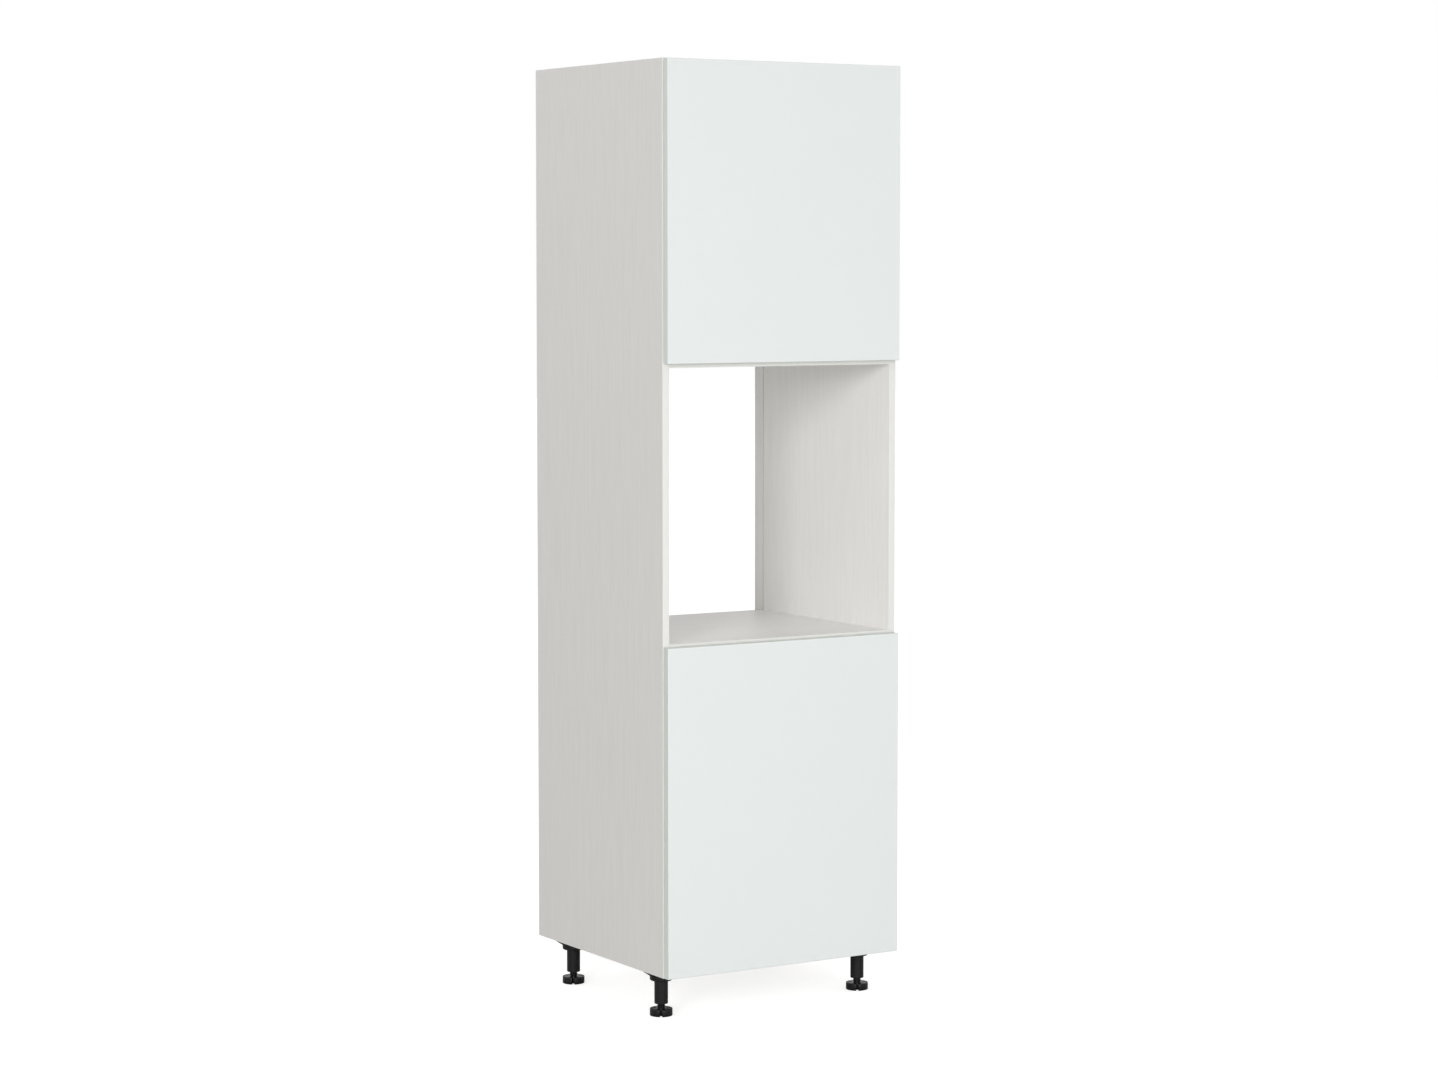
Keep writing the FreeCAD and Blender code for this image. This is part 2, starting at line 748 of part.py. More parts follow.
screwSizes = {      # shank's radius, head's radius, head's height, length below the head
    "leg_screw": ("2", "4", "2.5", "16"),
    "latch_screw": ("1.7", "3.5", "2", "14"),
    "bracket_screw": ("2", "4", "2.2", "16"),
    "back_screw": ("1.5", "3.5", "1.5", "14"),
    "plate_screw": ("2.5", "3.6", "1.6", "13"),
    "arm_screw": ("2", "3.4", "1.8", "6"),
    "cup_screw": ("1.75", "3.7", "1.4", "12"),
}


def turnedScrew(which):
    """A pan-head screw with its head above z = 0 and its shank below."""
    body = newBody(which + "_master")
    shank, head, headHeight, length = screwSizes[which]
    revolve(body, [
        ("0", "-(%s)" % length), (shank, "-(%s) + 2" % length), (shank, "0"), (head, "0"),
        (head, "%s / 2" % headHeight), ("%s * 0.6" % head, headHeight), ("0", headHeight)])
    return body


legScrew = turnedScrew("leg_screw")
flangePlaces, tubePlaces, legScrewPlaces = [], [], []
for x, y in legPlaces.values():
    flangePlaces.append(at(x, y, "legHeight"))
    tubePlaces.append(at(x, y, "0"))
    for angle in screwAngles:
        across, along = aroundLeg(angle)
        place = at(x + " + " + across, y + " + " + along, "legHeight - flangeThickness", upsideDown)
        legScrewPlaces.append(place)
keep(group("leg_flanges", legFlange(), flangePlaces))
keep(group("leg_tubes", legTube(), tubePlaces))
keep(group("leg_screws", legScrew, legScrewPlaces))
for label, (x, y) in legPlaces.items():
    keep(legFoot("foot_" + label, x, y))


# ---- doors ---------------------------------------------------------------------------------------

doorFeet = {"upper": "upperDoorFoot", "lower": "legHeight"}
doorHeights = {"upper": "upperDoorHeight", "lower": "lowerDoorHeight"}


def doorPanel(which):
    """A slab front, drawn from its rear face and its hinge edge at the right."""
    body = newBody(which + "_door_panel", "hingeEdge", "doorRear", doorFeet[which])
    sketch = newSketch(body, "XZ_Plane")
    rectangle(sketch, "-doorWidth", "0", "doorWidth", doorHeights[which])
    soften(body, pad(body, sketch, "doorThickness"), "doorRound", lyingAt("y", "-doorThickness"))
    cups = newSketch(body, "XZ_Plane")
    heights = [height + " - (%s)" % doorFeet[which] for height in hingeHeights[which]]
    circles(cups, "cupDiameter", [("-cupCentre", height) for height in heights])
    pocket(body, cups, "cupBore", reversed=True)
    return body


keep(doorPanel("upper"))
keep(doorPanel("lower"))


# ---- fittings on the doors and in the carcass -----------------------------------------------------

def bumper():
    body = newBody("bumper_master")
    radius = "bumperDiameter / 2"
    revolve(body, [
        ("0", "0"), (radius, "0"), (radius, "bumperThickness * 0.4"),
        (radius + " * 0.85", "bumperThickness * 0.8"), (radius + " * 0.5", "bumperThickness"),
        ("0", "bumperThickness")])
    return body


def strikePlate():
    body = newBody("strike_plate_master")
    radius = "strikeDiameter / 2"
    revolve(body, [
        ("0", "0"), (radius, "0"), (radius, "strikeThickness / 2"),
        (radius + " - strikeThickness / 2", "strikeThickness"), ("0", "strikeThickness")])
    return body


latchHoleBack = "(latchEarStart + latchEarWidth / 2)"
latchHoleRise = "(latchHeight / 2 + latchEar / 2)"


def latchHousing():
    """The latch's long case, screwed to the side at x = 0; its mouth is at y = 0, its plunger on the axis."""
    body = newBody("latch_housing_master")
    middle = "latchWidth / 2"
    case = newSketch(body, "YZ_Plane")
    rectangle(case, "0", "-latchHeight / 2", "latchLength", "latchHeight")
    soften(body, pad(body, case, "latchWidth"), "latchRound", lyingAt("x", "latchWidth"))
    ear = newSketch(body, "YZ_Plane")
    rectangle(ear, "latchEarStart", "-(latchHeight + 2 * latchEar) / 2",
              "latchEarWidth", "latchHeight + 2 * latchEar")
    pad(body, ear, "latchEarSheet")
    holes = newSketch(body, "YZ_Plane", "latchEarSheet")
    circles(holes, "latchHole", [(latchHoleBack, sign + latchHoleRise) for sign in ("-", "")])
    pocket(body, holes, "latchEarSheet")
    bore = newSketch(body, "XZ_Plane")
    circles(bore, "plungerDiameter + 2 * plungerPlay", [(middle, "0")])
    pocket(body, bore, "plungerLength + plungerRoom")
    return body


def plunger(label, height):
    """The latch's pin, with a soft domed tip that stands out of the case towards the door."""
    tip = "doorRear + strikeThickness + latchGap"
    body = newBody(label, "board - unitWidth / 2 + latchWidth / 2", tip, height)
    radius = "plungerDiameter / 2"
    revolve(body, [
        ("0", "0"), (radius + " - plungerTip", "0"), (radius, "plungerTip"), (radius, "plungerLength"),
        ("0", "plungerLength")])
    body.Placement = Placement(body.Placement.Base, outOfDoor)
    return body


latchHeights = {    # the plunger's axis, above the floor
    "upper": "unitHeight - upperDoorEnd - latchFromDoorEnd",
    "lower": "legHeight + latchFromDoorEnd",
}
latchScrew = turnedScrew("latch_screw")
latchPlaces, latchScrewPlaces = [], []
for which, height in latchHeights.items():
    latchPlaces.append(at("board - unitWidth / 2", "carcassFront + latchSetback", height))
    for sign in (" - ", " + "):
        latchScrewPlaces.append(at("board - unitWidth / 2 + latchEarSheet",
                                   "carcassFront + latchSetback + " + latchHoleBack,
                                   height + sign + latchHoleRise, inward[-1]))
keep(group("push_latch_housings", latchHousing(), latchPlaces))
keep(group("push_latch_screws", latchScrew, latchScrewPlaces))
bumperShape, strikeShape = bumper(), strikePlate()
for which in ("upper", "lower"):
    foot, height = doorFeet[which], doorHeights[which]
    keep(plunger(which + "_latch_plunger", latchHeights[which]))
    strike = at("board - unitWidth / 2 + latchWidth / 2", "doorRear", latchHeights[which], outOfDoor)
    keep(group(which + "_strike_plate", strikeShape, [strike]))
    bumpers = [at("-unitWidth / 2 + doorReveal + bumperFromEdge", "doorRear", level, outOfDoor)
               for level in (foot + " + bumperFromDoorEnd", "%s + %s - bumperFromDoorEnd" % (foot, height))]
    keep(group(which + "_door_bumpers", bumperShape, bumpers))


def wallBracket():
    """A steel angle in the space behind the back panel: x = 0 on the side, y = 0 at the wall."""
    body = newBody("wall_bracket_master")
    angle = newSketch(body, "XY_Plane")
    outline(angle, [
        ("0", "0"), ("0", "-bracketArm"), ("bracketSheet", "-bracketArm"), ("bracketSheet", "-bracketSheet"),
        ("bracketArm", "-bracketSheet"), ("bracketArm", "0")])
    bend = pad(body, angle, "bracketHeight", midplane=True)
    soften(body, bend, "bracketBend", lambda edge: lyingAt("x", "0")(edge) and lyingAt("y", "0")(edge))
    hole = newSketch(body, "XZ_Plane")
    circles(hole, "bracketHole", [("bracketHoleFromSide", "0")])
    pocket(body, hole, "2 * bracketSheet", reversed=True)
    return body


wall = "(carcassFront + carcassDepth)"
bracketHeights = "unitHeight - board - bracketFromTop - bracketHeight / 2"
bracket = wallBracket()
bracketScrew = turnedScrew("bracket_screw")
bracketPlaces, bracketScrewPlaces = [], []
for side, facing in ((-1, Rotation()), (1, Rotation(Vector(0, 1, 0), 180))):
    bracketPlaces.append(at("%d * innerWidth / 2" % side, wall, bracketHeights, facing))
    for sign in (" - ", " + "):
        bracketScrewPlaces.append(at("%d * (innerWidth / 2 - bracketSheet)" % side,
                                     wall + " - bracketArm / 2",
                                     bracketHeights + sign + "bracketScrewStep / 2", inward[side]))
keep(group("wall_brackets", bracket, bracketPlaces))
keep(group("wall_bracket_screws", bracketScrew, bracketScrewPlaces))
backScrew = turnedScrew("back_screw")
backScrewPlaces = []
for share in (-0.4, 0, 0.4):
    for level in ("nicheFloorTop - board / 2", "ceilingUnderside + board / 2"):
        sheetRear = "carcassFront + backFace + backSheet"
        backScrewPlaces.append(at("%s * innerWidth" % share, sheetRear, level, outOfDoor))
keep(group("back_panel_screws", backScrew, backScrewPlaces))


# ---- cup hinges ----------------------------------------------------------------------------------
# Each hinge is drawn closed, about the door's hinge edge at the door's rear face: X points from the
# door towards that edge and Y from the door into the carcass, so what lies "in" from the edge has a
# negative X and what lies "out" in the door has a negative Y. A link's two pivots are its arm pin
# and its cup pin.

sideFace = "doorReveal - board"     # the side's inner face, as the hinge's X counts it


def pin(which, part):
    """The centre of one of the four pins: which link, and which end of it."""
    return "-%s%sIn" % (which, part), "-%s%sOut" % (which, part)


def linkBar(body, which, width, height):
    """A straight bar of the given width and height between a link's two pins, with round ends."""
    (startX, startY), (endX, endY) = pin(which, "Arm"), pin(which, "Cup")
    alongX, alongY = "((%s) - (%s))" % (endX, startX), "((%s) - (%s))" % (endY, startY)
    half = "(%s / 2 / sqrt(%s ^ 2 + %s ^ 2))" % (width, alongX, alongY)
    offX, offY = "%s * %s" % (alongY, half), "%s * %s" % (alongX, half)
    bar = newSketch(body, "XY_Plane")
    outline(bar, [
        ("%s + %s" % (startX, offX), "%s - %s" % (startY, offY)),
        ("%s + %s" % (endX, offX), "%s - %s" % (endY, offY)),
        ("%s - %s" % (endX, offX), "%s + %s" % (endY, offY)),
        ("%s - %s" % (startX, offX), "%s + %s" % (startY, offY))])
    pad(body, bar, height, midplane=True)
    for part, eye in (("Arm", "linkEye"), ("Cup", which + "CupEye")):
        end = newSketch(body, "XY_Plane")
        circles(end, eye, [pin(which, part)])
        pad(body, end, height, midplane=True)


def linkBores(body, which):
    for part, bore in (("Arm", "linkBore"), ("Cup", which + "CupBore")):
        sketch = newSketch(body, "XY_Plane")
        circles(sketch, bore, [pin(which, part)])
        pocket(body, sketch, "outerLinkHeight + 2", midplane=True)


def outerLink():
    """Two plates that carry the door's load, joined by a web near the arm."""
    body = newBody("outer_link_master")
    linkBar(body, "outer", "linkWidth", "outerLinkHeight")
    startX, startY = pin("outer", "Arm")
    endX, endY = pin("outer", "Cup")
    gap = newSketch(body, "XY_Plane")
    # the slot between the plates, from past the web to past the cup pin
    middleX = "((%s) * 0.45 + (%s) * 0.55)" % (startX, endX)
    middleY = "((%s) * 0.45 + (%s) * 0.55)" % (startY, endY)
    outline(gap, [
        (middleX + " - 6", middleY), (middleX, middleY + " + 6"),
        (endX + " + 8", endY + " + 4"), (endX + " + 4", endY + " - 8")])
    pocket(body, gap, "innerLinkHeight + 1", midplane=True)
    linkBores(body, "outer")
    return body


def innerLink():
    """The guiding link between the outer link's plates; its cup eye is wide, for the pivot left open."""
    body = newBody("inner_link_master")
    linkBar(body, "inner", "linkWidth", "innerLinkHeight")
    linkBores(body, "inner")
    return body


def armOutline(grow):
    """The arm seen from above: its rail part by the side, then the slope to the nose and its pins."""
    nose = "(outerArmIn + linkEye / 2 + armNosePlay + %s)" % grow
    top = "(board - doorReveal + plateHeight + armLift + %s)" % grow
    low = "(board - doorReveal + plateWing + armGap)"
    front, cheek = "-innerArmOut - armNoseFront", "-outerArmIn + armNoseCheek"
    return [
        ("-" + low, "armBack"), ("-" + top, "armBack"), ("-" + top, "-outerArmOut + armSlope"),
        ("-" + nose, "-outerArmOut + 3 + %s" % grow), ("-" + nose, front), (cheek, front),
        (cheek, "-outerArmOut - 4"), ("-" + low, "-outerArmOut + 6")]


armWidth = "(outerLinkHeight + 2 * linkPlay + 2 * armSheet)"
webFace = "-(board - doorReveal + plateHeight + armLift + armSheet)"


def hingeArm():
    """A bent channel: two cheeks that hold the arm pins, and a web on the side away from the carcass side."""
    body = newBody("hinge_arm_master")
    outside = newSketch(body, "XY_Plane")
    outline(outside, armOutline("armSheet"))
    webCorners = [(value(x), value(y)) for x, y in armOutline("armSheet")[1:4]]

    def onWeb(edge):
        ends = [(vertex.X, vertex.Y) for vertex in edge.Vertexes]
        return all(any(math.dist(end, corner) < 0.01 for corner in webCorners) for end in ends)

    soften(body, pad(body, outside, armWidth, midplane=True), "armRound", onWeb)
    inside = newSketch(body, "XY_Plane")
    outline(inside, armOutline("0"))
    pocket(body, inside, "outerLinkHeight + 2 * linkPlay", midplane=True)
    slot = newSketch(body, "YZ_Plane", webFace)
    rectangle(slot, "armBack - armSlotLength", "-armSlot / 2", "armSlotLength", "armSlot")
    circles(slot, "armSlot", [("armBack - armScrewFront", "0")])
    pocket(body, slot, "2 * armSheet", reversed=True)
    bores = newSketch(body, "XY_Plane")
    circles(bores, "hingePin", [pin("outer", "Arm"), pin("inner", "Arm")])
    pocket(body, bores, "outerLinkHeight + 20", midplane=True)
    return body


def hingePlate():
    """A cross-shaped plate on the side, whose rail the arm slides over."""
    body = newBody("hinge_plate_master")
    wings = newSketch(body, "YZ_Plane", sideFace)
    row = "doorGap + plateRow"
    rectangle(wings, row + " - plateWingWidth / 2", "-(plateHoleStep + 1.5 * plateWingWidth) / 2",
              "plateWingWidth", "plateHoleStep + 1.5 * plateWingWidth")
    soften(body, pad(body, wings, "plateWing", reversed=True), "plateWingRound", parallelTo("x"))
    rail = newSketch(body, "YZ_Plane", sideFace)
    rectangle(rail, row + " - plateRailStart", "-outerLinkHeight / 2", "plateRailLength", "outerLinkHeight")
    solid = pad(body, rail, "plateHeight", reversed=True)
    soften(body, solid, "plateRailRound", lyingAt("x", sideFace + " - plateHeight"))
    holes = newSketch(body, "YZ_Plane", sideFace)
    circles(holes, "pinDiameter", [(row, sign + "plateHoleStep / 2") for sign in ("-", "")])
    pocket(body, holes, "plateWing")
    return body


def hingeCup():
    """The cup pressed into the door: a bowl, its flange with two screw ears, and the well for the links."""
    body = newBody("hinge_cup_master")
    for x, width, height, radius in (
            ("-cupCentre - cupDiameter / 2", "cupFlangeLength", "cupFlangeHeight", "cupFlangeRound"),
            ("-cupCentre - cupScrewOffset - cupEar / 2", "cupEar", "(cupScrewStep + cupEar)", "cupEarRound")):
        flange = newSketch(body, "XZ_Plane")
        rectangle(flange, x, "-%s / 2" % height, width, height)
        solid = pad(body, flange, "cupFlange", reversed=True)
        ends = [lyingAt("z", sign + "%s / 2" % height) for sign in ("-", "")]
        soften(body, solid, radius, lambda edge: parallelTo("y")(edge) and any(atEnd(edge) for atEnd in ends))
    bowl = newSketch(body, "XZ_Plane")
    circles(bowl, "cupDiameter - 0.1", [("-cupCentre", "0")])
    soften(body, pad(body, bowl, "cupDepth"), "cupBowlRound", lyingAt("y", "-cupDepth"))
    well = newSketch(body, "XZ_Plane", "-cupFlange")
    rectangle(well, "-cupCentre - cupWellStart", "-cupWell / 2", "cupWellLength", "cupWell")
    pocket(body, well, "cupFlange + cupWellDepth", reversed=True)
    rim = newSketch(body, "XZ_Plane", "-cupFlange")
    rectangle(rim, "-cupCentre", "-cupWell / 2", "20", "cupWell")
    pocket(body, rim, "cupFlange + cupRimCut", reversed=True)
    holes = newSketch(body, "XZ_Plane", "-cupFlange")
    ears = "-cupCentre - cupScrewOffset"
    circles(holes, "cupHole", [(ears, sign + "cupScrewStep / 2") for sign in ("-", "")])
    pocket(body, holes, "cupFlange", reversed=True)
    bores = newSketch(body, "XY_Plane")
    circles(bores, "hingePin", [pin("outer", "Cup"), pin("inner", "Cup")])
    pocket(body, bores, "cupPinLength", midplane=True)
    return body


def hingePin(label, which, part, length, foot):
    body = newBody(label)
    sketch = newSketch(body, "XY_Plane", foot)
    circles(sketch, "hingePin", [pin(which, part)])
    pad(body, sketch, length)
    return body


stub = "(cupPinLength / 2 - innerLinkHeight / 2 - linkPlay)"    # the outer link turns on two short pins
armPins = [hingePin("arm_pin_%s_master" % which, which, "Arm", armWidth, "-%s / 2" % armWidth)
           for which in ("outer", "inner")]
cupStub = hingePin("cup_stub_pin_master", "outer", "Cup", stub, "innerLinkHeight / 2 + linkPlay")
cupPin = hingePin("cup_pin_master", "inner", "Cup", "cupPinLength", "-cupPinLength / 2")
outer, inner, arm, plate, cup = outerLink(), innerLink(), hingeArm(), hingePlate(), hingeCup()
plateScrew, armScrew, cupScrew = [turnedScrew(use + "_screw") for use in ("plate", "arm", "cup")]

hingePlaces = {which: [at("hingeEdge", "doorRear", height) for height in heights]
               for which, heights in hingeHeights.items()}
allHinges = hingePlaces["upper"] + hingePlaces["lower"]
fromSide = Rotation(Vector(0, 1, 0), -90)       # +Z of a screw points from the right side inwards


def inHinge(places, x, y, z, rotation):
    local = at(x, y, z, rotation)
    return [place * local for place in places]


plateScrews, armScrews = [], []
for sign in ("-", ""):
    plateScrews += inHinge(allHinges, sideFace + " - plateWing", "doorGap + plateRow",
                           sign + "plateHoleStep / 2", fromSide)
for back in ("armBack - armScrewRear", "armBack - armScrewFront"):
    armScrews += inHinge(allHinges, webFace, back, "0", fromSide)
keep(group("hinge_mounting_plates", plate, allHinges))
keep(group("hinge_arms", arm, allHinges))
keep(group("hinge_plate_screws", plateScrew, plateScrews))
keep(group("hinge_arm_screws", armScrew, armScrews))
keep(group("hinge_arm_outer_pins", armPins[0], allHinges))
keep(group("hinge_arm_inner_pins", armPins[1], allHinges))
for which, places in hingePlaces.items():
    keep(group(which + "_hinge_cups", cup, places))
    cupScrews = []
    for sign in ("-", ""):
        cupScrews += inHinge(places, "-cupCentre - cupScrewOffset", "cupFlange",
                             sign + "cupScrewStep / 2", outOfDoor)
    keep(group(which + "_hinge_cup_screws", cupScrew, cupScrews))
    below = inHinge(places, "0", "0", "-cupPinLength / 2 - innerLinkHeight / 2 - linkPlay", Rotation())
    keep(group(which + "_cup_outer_pins", cupStub, places + below))
    keep(group(which + "_cup_inner_pins", cupPin, places))
    keep(group(which + "_outer_links", outer, places))
    keep(group(which + "_inner_links", inner, places))


# ---- checks and files ----------------------------------------------------------------------------

doc.recompute()
for item in doc.Objects:
    if "Invalid" in item.State or "Error" in item.State:
        raise RuntimeError("%s is %s" % (item.Label, item.State))
for item in nodes:
    if item.Shape.isNull() or not item.Shape.isValid():
        raise RuntimeError(item.Label + " has no valid shape")
os.makedirs("parts", exist_ok=True)
for item in nodes:
    item.Shape.exportStep("parts/%s.step" % item.Label)
print(len(nodes), "nodes written")
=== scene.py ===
import bpy
import math
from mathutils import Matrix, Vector


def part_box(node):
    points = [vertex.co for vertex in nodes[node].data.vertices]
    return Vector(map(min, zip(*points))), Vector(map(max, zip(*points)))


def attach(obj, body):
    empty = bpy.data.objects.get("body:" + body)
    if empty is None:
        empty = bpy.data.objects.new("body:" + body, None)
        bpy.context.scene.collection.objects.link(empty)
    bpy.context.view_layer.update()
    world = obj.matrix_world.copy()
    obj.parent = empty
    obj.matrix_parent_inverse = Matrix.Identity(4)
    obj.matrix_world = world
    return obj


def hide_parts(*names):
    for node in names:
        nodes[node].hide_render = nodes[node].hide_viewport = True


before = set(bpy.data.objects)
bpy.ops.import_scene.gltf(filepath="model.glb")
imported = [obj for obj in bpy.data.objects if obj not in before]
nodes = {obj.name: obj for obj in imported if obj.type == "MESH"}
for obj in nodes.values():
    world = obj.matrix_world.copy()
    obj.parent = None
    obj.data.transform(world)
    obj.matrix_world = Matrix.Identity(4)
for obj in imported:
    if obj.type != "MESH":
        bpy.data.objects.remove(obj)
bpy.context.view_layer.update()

scene = bpy.context.scene
print("frame loaded:", len(nodes), "nodes")


# camera: where the photo was taken from, in metres and degrees

view = {
    "place": (-3.9554, -6.4570, 1.6332),
    "turn": 31.535,         # to the right of straight ahead
    "dip": 4.17,            # below level
    "lens": 84.59,
    "shift": -0.02,
    "reach": 100,
}

bpy.ops.object.camera_add(location=view["place"])
camera = bpy.context.object
camera.name = "viewCamera"
camera.rotation_euler = (math.radians(90 - view["dip"]), 0, math.radians(-view["turn"]))
camera.data.lens = view["lens"]
camera.data.shift_y = view["shift"]
camera.data.clip_end = view["reach"]
scene.camera = camera
scene.view_settings.view_transform = "Standard"
print("camera placed")


# shader nodes, and groups of them that several finishes share

def newGroup(name, inputs, outputs):
    group = bpy.data.node_groups.new(name, "ShaderNodeTree")
    for way, sockets in (("INPUT", inputs), ("OUTPUT", outputs)):
        for label, kind in sockets.items():
            group.interface.new_socket(label, in_out=way, socket_type="NodeSocket" + kind)
    return group, group.nodes.new("NodeGroupInput").outputs, group.nodes.new("NodeGroupOutput").inputs


def add(tree, kind, links=(), **settings):
    # links are pairs: an input socket, and another node's output or a plain value
    node = tree.nodes.new("ShaderNode" + kind)
    for name, setting in settings.items():
        setattr(node, name, setting)
    for socket, source in links:
        if isinstance(source, bpy.types.NodeSocket):
            tree.links.new(source, node.inputs[socket])
        else:
            node.inputs[socket].default_value = source
    return node


def math2(tree, operation, first, second, clamp=False):
    return add(tree, "Math", [(0, first), (1, second)], operation=operation, use_clamp=clamp).outputs[0]


def blend(tree, amount, first, second, kind="MIX"):
    links = [("Factor", amount), ("A", first), ("B", second)]
    return add(tree, "Mix", links, data_type="RGBA", blend_type=kind).outputs["Result"]


def objectPlace(tree):
    return add(tree, "TexCoord").outputs["Object"]


def noise(tree, place, scale, detail):
    return add(tree, "TexNoise", [("Vector", place), ("Scale", scale), ("Detail", detail)]).outputs["Fac"]


pressing = {"broad": 1.0, "broadDetail": 3.0, "fine": 4.3, "fineDetail": 4.0}


def makeGrain():
    # fine pressed grain: streaks along the axis that is stretched least
    group, given, result = newGroup(
        "pressedGrain", {"Stretch": "Vector", "Contrast": "Float"}, {"Streaks": "Float", "Height": "Float"})
    factors = [(0, objectPlace(group)), (1, given["Stretch"])]
    pulled = add(group, "VectorMath", factors, operation="MULTIPLY").outputs[0]
    broad = noise(group, pulled, pressing["broad"], pressing["broadDetail"])
    fine = noise(group, pulled, pressing["fine"], pressing["fineDetail"])
    centred = math2(group, "SUBTRACT", math2(group, "ADD", broad, fine), 1.0)
    streaks = math2(group, "ADD", math2(group, "MULTIPLY", centred, given["Contrast"]), 0.5, clamp=True)
    group.links.new(streaks, result["Streaks"])
    group.links.new(fine, result["Height"])
    return group


flakes = {"smaller": 2.7, "dark": (0.21, 0.125, 0.06, 1), "pale": (0.62, 0.46, 0.29, 1)}


def makeChips():
    # raw chipboard: pressed wood flakes of two sizes
    group, given, result = newGroup("rawChips", {"Size": "Float"}, {"Colour": "Color", "Height": "Float"})
    place = objectPlace(group)
    smallSize = math2(group, "MULTIPLY", given["Size"], flakes["smaller"])
    large = add(group, "TexVoronoi", [("Vector", place), ("Scale", given["Size"])])
    small = add(group, "TexVoronoi", [("Vector", place), ("Scale", smallSize)])
    tone = add(group, "SeparateColor", [("Color", large.outputs["Color"])]).outputs[0]
    fleck = add(group, "SeparateColor", [("Color", small.outputs["Color"])]).outputs[1]
    ramp = add(group, "ValToRGB", [("Fac", math2(group, "MULTIPLY", math2(group, "ADD", tone, fleck), 0.5))])
    ramp.color_ramp.elements[0].color = flakes["dark"]
    ramp.color_ramp.elements[1].color = flakes["pale"]
    group.links.new(ramp.outputs["Color"], result["Colour"])
    group.links.new(small.outputs["Distance"], result["Height"])
    return group


def makeWithin():
    # 1 where a value lies between two limits
    group, given, result = newGroup(
        "withinFaces", {"Value": "Float", "Low": "Float", "High": "Float"}, {"Inside": "Float"})
    above = math2(group, "GREATER_THAN", given["Value"], given["Low"])
    below = math2(group, "LESS_THAN", given["Value"], given["High"])
    group.links.new(math2(group, "MULTIPLY", above, below), result["Inside"])
    return group


toothNoise = {"detail": 2.0, "slow": 5.0}


def makeTooth():
    # the fine tooth of a moulded, lacquered or cast face, with slow changes of tone
    group, given, result = newGroup(
        "faceTooth", {"Size": "Float", "Tone": "Float"}, {"Height": "Float", "Tone": "Float"})
    place = objectPlace(group)
    fine = noise(group, place, given["Size"], toothNoise["detail"])
    slow = noise(group, place, toothNoise["slow"], toothNoise["detail"])
    away = math2(group, "MULTIPLY", math2(group, "SUBTRACT", slow, 0.5), given["Tone"])
    group.links.new(fine, result["Height"])
    group.links.new(math2(group, "ADD", away, 1.0), result["Tone"])
    return group


grainShader, chipShader, withinShader, toothShader = makeGrain(), makeChips(), makeWithin(), makeTooth()


def useGroup(tree, group, **values):
    node = tree.nodes.new("ShaderNodeGroup")
    node.node_tree = group
    for name, setting in values.items():
        if isinstance(setting, bpy.types.NodeSocket):
            tree.links.new(setting, node.inputs[name])
        else:
            node.inputs[name].default_value = setting
    return node.outputs


def within(tree, value, low, high):
    return useGroup(tree, withinShader, Value=value, Low=low, High=high)["Inside"]


def axesOf(tree):
    return add(tree, "SeparateXYZ", [(0, objectPlace(tree))]).outputs


def startMaterial(name, roughness, metallic=0.0):
    material = bpy.data.materials.new(name)
    material.use_nodes = True
    tree = material.node_tree
    surface = tree.nodes["Principled BSDF"]
    surface.inputs["Roughness"].default_value = roughness
    surface.inputs["Metallic"].default_value = metallic
    return material, tree, surface.inputs


def raiseFace(tree, sockets, height, look):
    bump = add(tree, "Bump", [("Height", height), ("Strength", look["bump"]), ("Distance", look["depth"])])
    tree.links.new(bump.outputs["Normal"], sockets["Normal"])


def spread(tree, fine, look):
    # roughness that changes a little over the face
    away = math2(tree, "MULTIPLY", math2(tree, "SUBTRACT", fine, 0.5), look["swing"])
    return math2(tree, "ADD", away, look["roughness"])


def dress(names, material):
    for name in names:
        slots = nodes[name].data.materials
        slots.clear()
        slots.append(material)


# boards: white melamine on chipboard, which shows wherever a board is cut

boards = {
    "colour": (0.908, 0.898, 0.878, 1),
    "darker": (0.860, 0.850, 0.828, 1),
    "outside": (0.845, 0.842, 0.835, 1),    # painted shade: the outer faces of the sides are made a little greyer than the inner faces of the same board
    "roughness": 0.42,
    "swing": 0.08,
    "contrast": 2.2,
    "upright": (120, 120, 4.5),
    "level": (4.5, 120, 120),
    "skin": 0.0003,         # thickness of the melamine
    "topBand": 0.0002,
    "groove": (0.2512, 0.2549),     # along Y, in the sides' inner faces; it stays pale
    "chips": 520.0,
    "coreRougher": 0.4,
    "grainHeight": 0.12,    # beside the chips' height
    "bump": 0.35,
    "depth": 0.0004,
}


